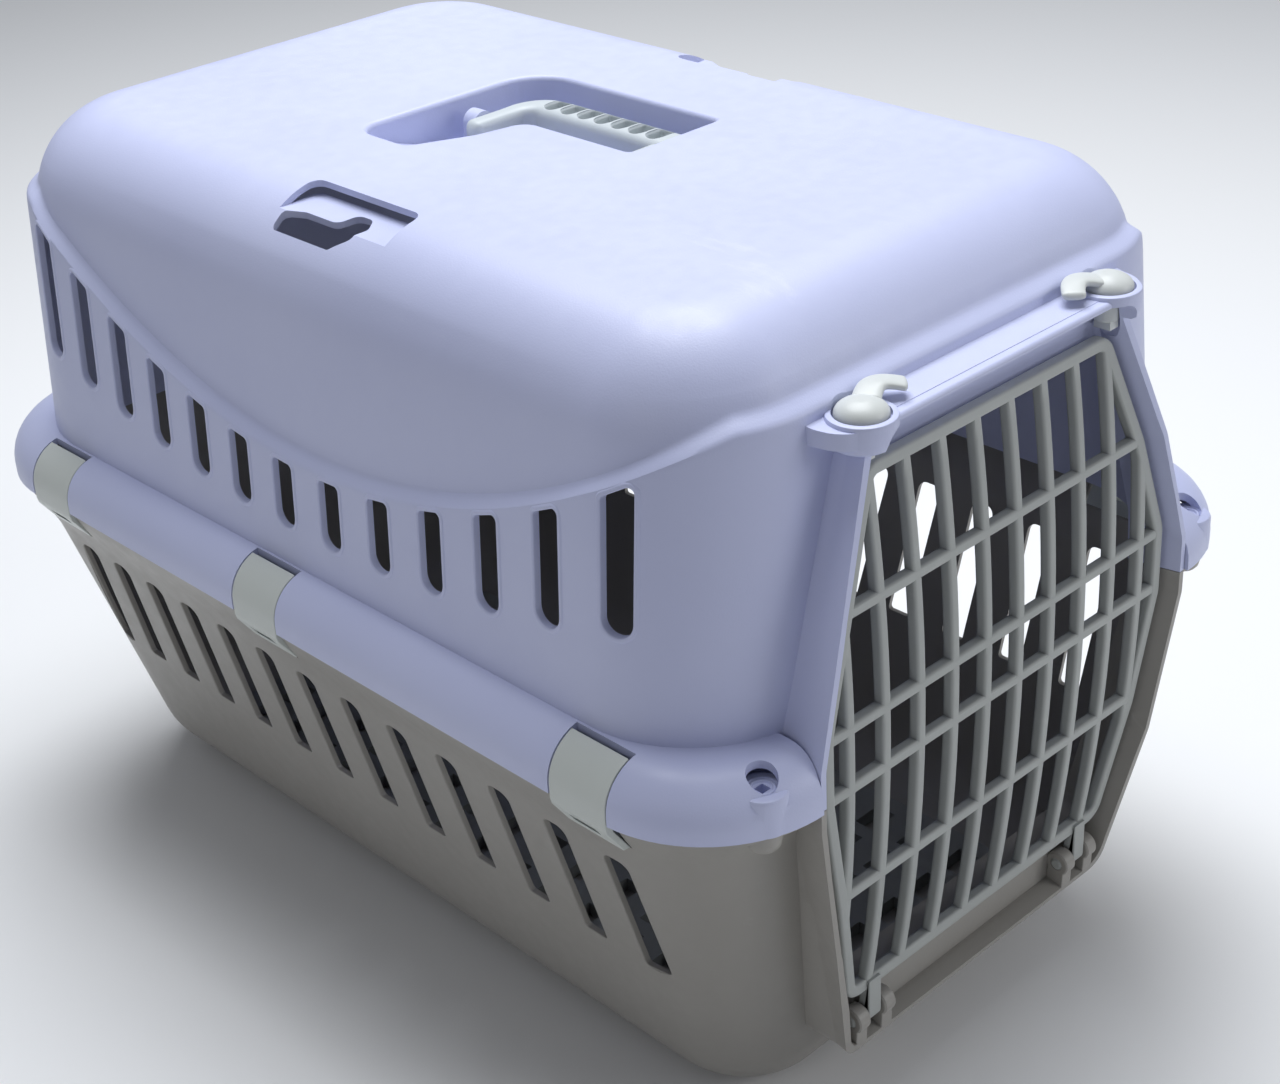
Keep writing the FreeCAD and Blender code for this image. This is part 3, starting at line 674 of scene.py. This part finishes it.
def doorEdge(values, along, lookup):
    # highest and lowest crossing of the door's outline at each asked place
    loop = doorLoop(-grille["rim"] / 2)
    a, b = loop[:, along], loop[:, 1 - along]
    ahead = (b > 164.0) if along == 0 else (b > 0)
    side = ahead if lookup else ~ahead
    order = np.argsort(a[side])
    return np.interp(values, a[side][order], b[side][order])


def makeDoor():
    # rim carried round the barrel outline, uprights bent on the bow, level bars straight across
    thick = door["thick"]
    loop = doorLoop(-grille["rim"] / 2)
    step = grown(loop, 1.0) - loop
    shape = barSection(grille["rim"], thick, grille["round"])
    path = onPlane(loop, "XZ", bowY(loop[:, 1]) + thick / 2)
    depth = np.broadcast_to(shape[:, 1], (len(loop), len(shape)))
    sections = np.stack([step[:, None, 0] * shape[:, 0], depth, step[:, None, 1] * shape[:, 0]], -1)
    grid = carriedSection("doorGrille", path, sections, close=True)
    bar = barSection(door["bar"], thick - 0.3, grille["round"])
    bars = []
    for k in range(grille["columns"]):
        x = (k - (grille["columns"] - 1) / 2) * door["pitch"]
        z = np.linspace(doorEdge(x, 0, False), doorEdge(x, 0, True), 24)
        path = np.stack([np.full_like(z, x), bowY(z) + thick / 2 + 0.1, z], -1)
        shape = np.stack([bar[:, 0], bar[:, 1], np.zeros(len(bar))], -1)
        bars.append(carriedSection(f"upright{k}", path, np.broadcast_to(shape, (len(z), *shape.shape))))
    for k, z in enumerate(grille["levels"]):
        reach = float(doorEdge(z, 1, True))
        x = np.linspace(-reach, reach, 3)
        path = np.stack([x, np.full_like(x, bowY(z) + thick / 2 + 0.1), np.full_like(x, z)], -1)
        shape = np.stack([np.zeros(len(bar)), bar[:, 1], bar[:, 0]], -1)
        bars.append(carriedSection(f"level{k}", path, np.broadcast_to(shape, (3, *shape.shape))))
    y, z = hinge["y"], hinge["z"]
    for side in (-1, 1):
        x = side * hinge["x"]
        arm = [(y - 3.5, z - 3.2), (y + 3.4, z - 3.2), (y + 1.5, z + 6), (y + 1.5, 62), (y - 3.5, 62)]
        arm = roundedPolygon(arm, [3.2, 3.2, 2, 0.4, 0.4], 5)
        bars.append(prism(f"arm{side}", arm, "YZ", x - grille["armHalf"], x + grille["armHalf"], edge=0.6))
        bars.append(turned(f"hingePin{side}", (0, y, z), "x",
                           [(1.8, x - 10.5), (2.6, x - 9.8), (2.6, x + 9.8), (1.8, x + 10.5)], 28))
    return joined(grid, bars)


bail = {"legHeight": 10.0, "gripHeight": 13.6, "legWidth": 9.0, "gripWidth": 15.6, "cells": 7, "pitch": 9.6,
        "rib": 1.9, "bend": 11.0, "pin": 3,
        "cellRows": [(309.5, -1.2), (310.2, -0.2), (311.0, 0), (315.2, 0), (315.8, 0.1), (316.3, 0.5),
                     (322, 0.8)]}


def roundBar(name, path, width, height, power=0.62, steps=28):
    # superellipse section turned to the path's direction, sized by the given widths and heights; the ends
    # shrink only where those given sizes shrink
    heading = np.gradient(path[:, :2], axis=0)
    heading /= np.linalg.norm(heading, axis=1)[:, None]
    across = np.stack([-heading[:, 1], heading[:, 0]], -1)
    angle = np.linspace(0, 2 * math.pi, steps, endpoint=False)
    u = np.sign(np.cos(angle)) * np.abs(np.cos(angle)) ** power / 2
    v = np.sign(np.sin(angle)) * np.abs(np.sin(angle)) ** power / 2
    side = across[:, None, :] * (width[:, None, None] * u[:, None])
    return carriedSection(name, path, np.concatenate([side, (height[:, None] * v)[..., None]], -1))


def roundedEnds(path, width, height, count=6):
    # extra places at both ends, where the section shrinks like a ball's
    turn = np.linspace(0, math.pi / 2, count + 1)[1:]
    first, last = path[0] - path[1], path[-1] - path[-2]
    first, last = first / np.linalg.norm(first), last / np.linalg.norm(last)
    reach = min(width[0], height[0]) / 2 * 0.8
    head = path[0] + first * (np.sin(turn) * reach)[:, None]
    tail = path[-1] + last * (np.sin(turn) * reach)[:, None]
    shrink = np.maximum(np.cos(turn), 0.08)
    return (np.concatenate([head[::-1], path, tail]),
            np.concatenate([(width[0] * shrink)[::-1], width, width[-1] * shrink]),
            np.concatenate([(height[0] * shrink)[::-1], height, height[-1] * shrink]))


def makeHandle():
    # rear leg and grip are one bar bent through a soft corner; the front leg joins it inside
    x0, z0, gx = handle["x"], handle["z"], handle["gripX"]
    front, rear = handle["front"], handle["rear"]
    corner = np.linspace(0, math.pi / 2, 12)
    bend = bail["bend"]
    leg = np.stack([np.linspace(x0 - 8.2, gx - bend, 9)[:-1], np.full(8, rear)], -1)
    curve = np.stack([gx - bend + bend * np.sin(corner), rear - bend + bend * np.cos(corner)], -1)
    grip = np.stack([np.full(12, gx), np.linspace(rear - bend, front + 2.5, 13)[1:]], -1)
    plan = np.concatenate([leg, curve, grip])
    run = np.concatenate([[0], np.cumsum(np.linalg.norm(np.diff(plan, axis=0), axis=1))])
    swell = smoothStep((run - 16) / 26)
    width = bail["legWidth"] + (bail["gripWidth"] - bail["legWidth"]) * swell
    height = bail["legHeight"] + (bail["gripHeight"] - bail["legHeight"]) * swell
    path = np.column_stack([plan, z0 - 0.3 - 0.7 * swell])
    bar = roundBar("carryHandle", *roundedEnds(path, width, height))
    near = np.column_stack([np.linspace(gx - 2, x0, 6), np.full(6, front + 4.6), np.full(6, z0 - 0.4)])
    size = np.full(6, 9.0)
    parts = [roundBar("frontLeg", *roundedEnds(near, size * 0.94, size))]
    pin = bail["pin"]
    ahead = [(2.2, front - 10), (pin, front - 9.2), (pin, front + 2)]
    behind = [(pin, rear + 2), (pin, rear + 9.7), (2.2, rear + 10.5)]
    parts += [turned("frontPin", (x0, 0, z0), "y", ahead, 28),
              turned("rearPin", (x0, 0, z0), "y", behind, 28)]
    joined(bar, parts)
    first = (front + rear) / 2 - bail["pitch"] * (bail["cells"] - 1) / 2 - 2.0
    for k in range(bail["cells"]):
        y, reach = first + k * bail["pitch"], (bail["pitch"] - bail["rib"]) / 2
        cell = [(gx - 5.0, y - reach), (gx + 5.2, y - reach), (gx + 5.2, y + reach), (gx - 5.0, y + reach)]
        cell = roundedPolygon(cell, [3.7, 1.2, 1.2, 3.7], 6)
        rows = [onPlane(grown(cell, out), "XY", z) for z, out in bail["cellRows"]]
        carved(bar, [tube(f"cell{k}", np.stack(rows))])
    return bar


def makeLatch(side):
    # domed knob turned from a profile; its lever is a leaf that rises, bends over and thins to its tip
    x, y, top = side * latches["x"], latches["y"], hood["visor"]
    dome = np.linspace(0, math.pi / 2, 9)[:-1]
    profile = [(8.4, top - 0.25), (8.9, top + 0.3), (9.0, top + 1.4)]
    profile += [(9.0 * math.cos(a), top + 1.4 + 5.0 * math.sin(a)) for a in dome[1:]]
    knob = turned("doorLatch" + ("Left" if side < 0 else "Right"), (x, y, 0), "z", profile, 48)
    share = np.linspace(0, 1, 16)
    inward = -side
    path = np.stack([x + inward * (4 + 16.0 * share), y + 1.5 + 5.5 * np.sin(share * 2.6) - 4.5 * share,
                     top + 4.1 + 1.5 * np.sin(share * 3.1)], -1)
    lever = roundBar("lever", *roundedEnds(path, 9.6 - 1.4 * share, 3.6 - 0.6 * share), power=0.7)
    stem = turned("stem", (x, y, 0), "z", [(3.5, 278), (3.5, top + 1)], 28)
    foot = turned("footPlate", (x, y, 0), "z", [(3.9, 276), (4.3, 276.5), (4.3, 283.4)], 28)
    tongue = block("tongue", x - 2.4, x + 2.4, y - 3.4, y + 3.4, 272.9, 277)
    return joined(knob, [lever, stem, foot, tongue])


def makeClip(place, side):
    # tab section: over the rail's quarter circle, down its side and in along the wall; carried along the rail
    thick, half, y = clips["thick"], clips["width"] / 2, clips["places"][place]
    outside, parting, top = rail["half"], carrier["parting"], carrier["parting"] + rail["height"]
    radius = rail["round"]
    start = math.acos((radius - clips["reach"]) / radius)
    turn = np.linspace(start, 0, 12)
    low = parting - clips["drop"]
    faces = []
    for depth in (0, thick):
        arc = np.stack([np.cos(turn), np.sin(turn)], -1) * (radius - depth) + [outside - radius, top - radius]
        foot = [(outside - depth, parting - 1.5), (outside - depth - 0.6, parting - 4),
                (outside - clips["lean"] - depth, low)]
        faces.append(np.concatenate([arc, foot]))
    loop = np.concatenate([faces[0], faces[1][::-1]]) * [side, 1]
    name = "sideClip" + ("Left" if side < 0 else "Right") + place.capitalize()
    tab = prism(name, loop, "XZ", y - half, y + half, edge=clips["edge"])
    x = sorted((side * (outside - 13), side * (outside + 1)))
    half = clips["slotHalf"]
    return carved(tab, [block("clipSlot", x[0], x[1], y - half, y + half,
                              parting - clips["slotLow"], parting - clips["slotHigh"])])


def makePins():
    # turned heads with a square hole, one mesh for both corners
    heads = []
    top = carrier["parting"] + 13.0
    for side in (-1, 1):
        x, y = side * pins["x"], pins["y"]
        head = turned("cornerPins" if side < 0 else "otherPin", (x, y, 0), "z",
                      [(1.9, 155.5), (1.9, 172), (4.4, 172.0), (4.6, 172.4), (4.6, top + 0.6), (4.3, top + 1),
                       (3.7, top + 1), (3.3, top + 0.4)], 36)
        hole = roundedPolygon([(x - 2, y - 2), (x + 2, y - 2), (x + 2, y + 2), (x - 2, y + 2)], 0.3, 3)
        heads.append(carved(head, [prism(f"pinHole{side}", hole, "XY", top - 3.5, top + 2)]))
    return joined(heads[0], heads[1:])


def finished(piece, body, nodes, material, sharp=32.0):
    # smooth faces, crisp edges above an angle, normals led by the large faces
    mesh = piece.data
    turnOutwards(mesh)
    mesh.polygons.foreach_set("use_smooth", np.ones(len(mesh.polygons), bool))
    mesh.set_sharp_from_angle(angle=math.radians(sharp))
    mesh.materials.clear()
    mesh.materials.append(material)
    weigh = piece.modifiers.new("weigh", "WEIGHTED_NORMAL")
    weigh.keep_sharp = True
    weigh.weight = 60
    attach(piece, body)
    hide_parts(*nodes)
    mesh.calc_loop_triangles()
    print("piece:", piece.name, len(mesh.loop_triangles), "triangles")
    return piece


def plastic(name, look):
    # moulded plastic: fine spark-eroded grain, slow cloudy colour change, faint rubbed streaks, uneven gloss
    material = bpy.data.materials.new(name)
    material.use_nodes = True
    nodes, links = material.node_tree.nodes, material.node_tree.links
    shader = nodes["Principled BSDF"]
    place = nodes.new("ShaderNodeTexCoord")

    def noise(scale, detail, rough=0.5, stretch=None):
        texture = nodes.new("ShaderNodeTexNoise")
        texture.inputs["Scale"].default_value = scale
        texture.inputs["Detail"].default_value = detail
        texture.inputs["Roughness"].default_value = rough
        source = place.outputs["Object"]
        if stretch:
            mapping = nodes.new("ShaderNodeMapping")
            mapping.inputs["Scale"].default_value = stretch
            links.new(source, mapping.inputs["Vector"])
            source = mapping.outputs["Vector"]
        links.new(source, texture.inputs["Vector"])
        return texture.outputs["Fac"]

    def ramp(source, low, high, outLow, outHigh):
        span = nodes.new("ShaderNodeMapRange")
        span.inputs["From Min"].default_value = low
        span.inputs["From Max"].default_value = high
        span.inputs["To Min"].default_value = outLow
        span.inputs["To Max"].default_value = outHigh
        links.new(source, span.inputs["Value"])
        return span.outputs["Result"]

    def mix(factor, first, second):
        node = nodes.new("ShaderNodeMix")
        node.data_type = "RGBA"
        links.new(factor, node.inputs["Factor"])
        for value, socket in ((first, node.inputs["A"]), (second, node.inputs["B"])):
            if isinstance(value, tuple):
                socket.default_value = (*value, 1)
            else:
                links.new(value, socket)
        return node.outputs["Result"]

    clouds = ramp(noise(9.0, 3.0), 0.3, 0.7, 0.0, 1.0)
    colour = mix(clouds, look["colour"], look["shade"])
    rubbed = noise(26.0, 6.0, 0.65, (1.0, 0.25, 1.6))
    streaks = ramp(rubbed, look["scuffFrom"], look["scuffFrom"] + 0.1, 0.0, 0.5)
    colour = mix(streaks, colour, look["scuff"])
    links.new(colour, shader.inputs["Base Color"])
    gloss = ramp(noise(140.0, 4.0), 0.3, 0.7, look["rough"] - 0.05, look["rough"] + 0.06)
    links.new(gloss, shader.inputs["Roughness"])
    shader.inputs["IOR"].default_value = 1.46
    grain = nodes.new("ShaderNodeBump")
    grain.inputs["Strength"].default_value = look["grain"]
    grain.inputs["Distance"].default_value = 0.0002
    links.new(noise(look["grainScale"], 2.0), grain.inputs["Height"])
    waves = nodes.new("ShaderNodeBump")
    waves.inputs["Strength"].default_value = 0.12
    waves.inputs["Distance"].default_value = 0.0012
    links.new(noise(14.0, 1.0), waves.inputs["Height"])
    links.new(waves.outputs["Normal"], grain.inputs["Normal"])
    links.new(grain.outputs["Normal"], shader.inputs["Normal"])
    return material


finishes = {
    "lilac": {"colour": (0.56, 0.59, 0.80), "shade": (0.52, 0.55, 0.765), "scuff": (0.68, 0.70, 0.86),
              "scuffFrom": 0.66, "rough": 0.42, "grain": 0.25, "grainScale": 1500.0},
    # lower shell: the same pale grey plastic as the clips, but its base colour is set darker and warmer as
    # painted shade and a painted warm floor reflection
    "greyPaintedShade": {"colour": (0.335, 0.32, 0.295), "shade": (0.30, 0.285, 0.26), "scuff": (0.42, 0.405, 0.385),
             "scuffFrom": 0.66, "rough": 0.40, "grain": 0.25, "grainScale": 1500.0},
    "door": {"colour": (0.40, 0.415, 0.40), "shade": (0.36, 0.375, 0.36), "scuff": (0.5, 0.51, 0.5),
             "scuffFrom": 0.64, "rough": 0.44, "grain": 0.2, "grainScale": 1700.0},
    "handle": {"colour": (0.56, 0.60, 0.62), "shade": (0.52, 0.56, 0.58), "scuff": (0.68, 0.7, 0.72),
               "scuffFrom": 0.64, "rough": 0.40, "grain": 0.2, "grainScale": 1700.0},
    "latch": {"colour": (0.62, 0.64, 0.62), "shade": (0.58, 0.6, 0.58), "scuff": (0.7, 0.72, 0.7),
              "scuffFrom": 0.64, "rough": 0.36, "grain": 0.15, "grainScale": 1700.0},
    "clip": {"colour": (0.60, 0.63, 0.60), "shade": (0.56, 0.59, 0.56), "scuff": (0.7, 0.72, 0.7),
             "scuffFrom": 0.64, "rough": 0.40, "grain": 0.2, "grainScale": 1700.0},
    "grate": {"colour": (0.27, 0.28, 0.275), "shade": (0.23, 0.24, 0.235), "scuff": (0.34, 0.35, 0.345),
              "scuffFrom": 0.62, "rough": 0.45, "grain": 0.25, "grainScale": 1500.0},
}
materials = {name: plastic(name + "Plastic", look) for name, look in finishes.items()}
print("stage: materials")

built = [(makeUpperShell, (), "shells", "upper_shell", "lilac", "lilac_plastic"),
         # lower shell finish, whose base colour carries painted shade and a painted warm floor reflection
         (makeLowerShell, (), "shells", "lower_shell", "greyPaintedShade", "grey_plastic"),
         (makeDoor, (), "door", "door_grille", "door", "door_plastic"),
         (makeHandle, (), "handle", "carry_handle", "handle", "handle_plastic"),
         (makeLatch, (-1,), "latch_left", "door_latch_left", "latch", "latch_plastic"),
         (makeLatch, (1,), "latch_right", "door_latch_right", "latch", "latch_plastic"),
         (makePins, (), "shells", "corner_pins", "lilac", "lilac_plastic")]
for side, word in ((-1, "left"), (1, "right")):
    for place in clips["places"]:
        body = f"clip_{word}_{place}"
        built.append((makeClip, (place, side), body, "side_" + body, "clip", "clip_plastic"))
for maker, values, body, node, finish, slotName in built:
    finished(maker(*values), body, [node], materials[finish])
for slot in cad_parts["floor_grate"].material_slots:
    slot.material = materials["grate"]
print("stage: pieces")


studio = {"floor": (0.86, 0.86, 0.86), "floorReach": 4000.0,
          "world": (0.80, 0.84, 0.92), "worldStrength": 0.24,
          "lamps": [("overhead", (0.25, 0.25, 1.5), (0.05, 0.0, 0.2), 1.0, 25.0, (0.93, 0.96, 1.0)),
                    ("frontFill", (0.9, -1.5, 0.8), (0, -0.1, 0.15), 0.8, 7.0, (0.97, 0.98, 1.0)),
                    ("sideFill", (-1.6, -0.3, 0.8), (0, 0, 0.15), 0.9, 1.6, (1.0, 0.97, 0.93))]}
view = {"place": (-0.5299, -0.6122, 0.5870), "turn": -42.7, "lift": 29.18, "roll": -3.35,
        "lens": 61.43, "sensor": 36.0}


def makeStudio():
    # pale floor, one wide soft light overhead and two weak fills
    size = studio["floorReach"]
    mesh = newMesh("studioFloor", [(-size, -size, 0), (size, -size, 0), (size, size, 0), (-size, size, 0)],
                   np.array([[0, 1, 2, 3]]))
    floor = newPiece("studioFloor", mesh)
    material = bpy.data.materials.new("paleFloor")
    material.use_nodes = True
    shader = material.node_tree.nodes["Principled BSDF"]
    shader.inputs["Base Color"].default_value = (*studio["floor"], 1)
    shader.inputs["Roughness"].default_value = 0.8
    mesh.materials.append(material)
    world = bpy.data.worlds.new("studioWorld")
    world.use_nodes = True
    world.node_tree.nodes["Background"].inputs["Color"].default_value = (*studio["world"], 1)
    world.node_tree.nodes["Background"].inputs["Strength"].default_value = studio["worldStrength"]
    bpy.context.scene.world = world
    for name, place, target, width, power, colour in studio["lamps"]:
        lamp = bpy.data.lights.new(name, "AREA")
        lamp.size, lamp.energy, lamp.color = width, power, colour
        thing = bpy.data.objects.new(name, lamp)
        bpy.context.scene.collection.objects.link(thing)
        aim = np.subtract(target, place)
        thing.location = place
        thing.rotation_mode = "QUATERNION"
        thing.rotation_quaternion = mathutils.Vector(aim).to_track_quat("-Z", "Y")


def makeCamera():
    # three-quarter view from the left front, slightly rolled
    turn, lift, roll = (math.radians(view[key]) for key in ("turn", "lift", "roll"))
    level = math.cos(lift)
    back = mathutils.Vector((math.sin(turn) * level, -math.cos(turn) * level, math.sin(lift)))
    right = mathutils.Vector((math.cos(turn), math.sin(turn), 0))
    up = back.cross(right)
    side = right * math.cos(roll) + up * math.sin(roll)
    top = up * math.cos(roll) - right * math.sin(roll)
    lens = bpy.data.cameras.new("studioCamera")
    lens.sensor_fit, lens.sensor_width, lens.lens = "HORIZONTAL", view["sensor"], view["lens"]
    lens.clip_start, lens.clip_end = 0.05, 50
    camera = bpy.data.objects.new("studioCamera", lens)
    bpy.context.scene.collection.objects.link(camera)
    pose = mathutils.Matrix((side, top, back)).transposed().to_4x4()
    pose.translation = view["place"]
    camera.matrix_world = pose
    bpy.context.scene.camera = camera


makeStudio()
makeCamera()
bpy.context.scene.view_settings.view_transform = "Standard"
print("stage: studio")
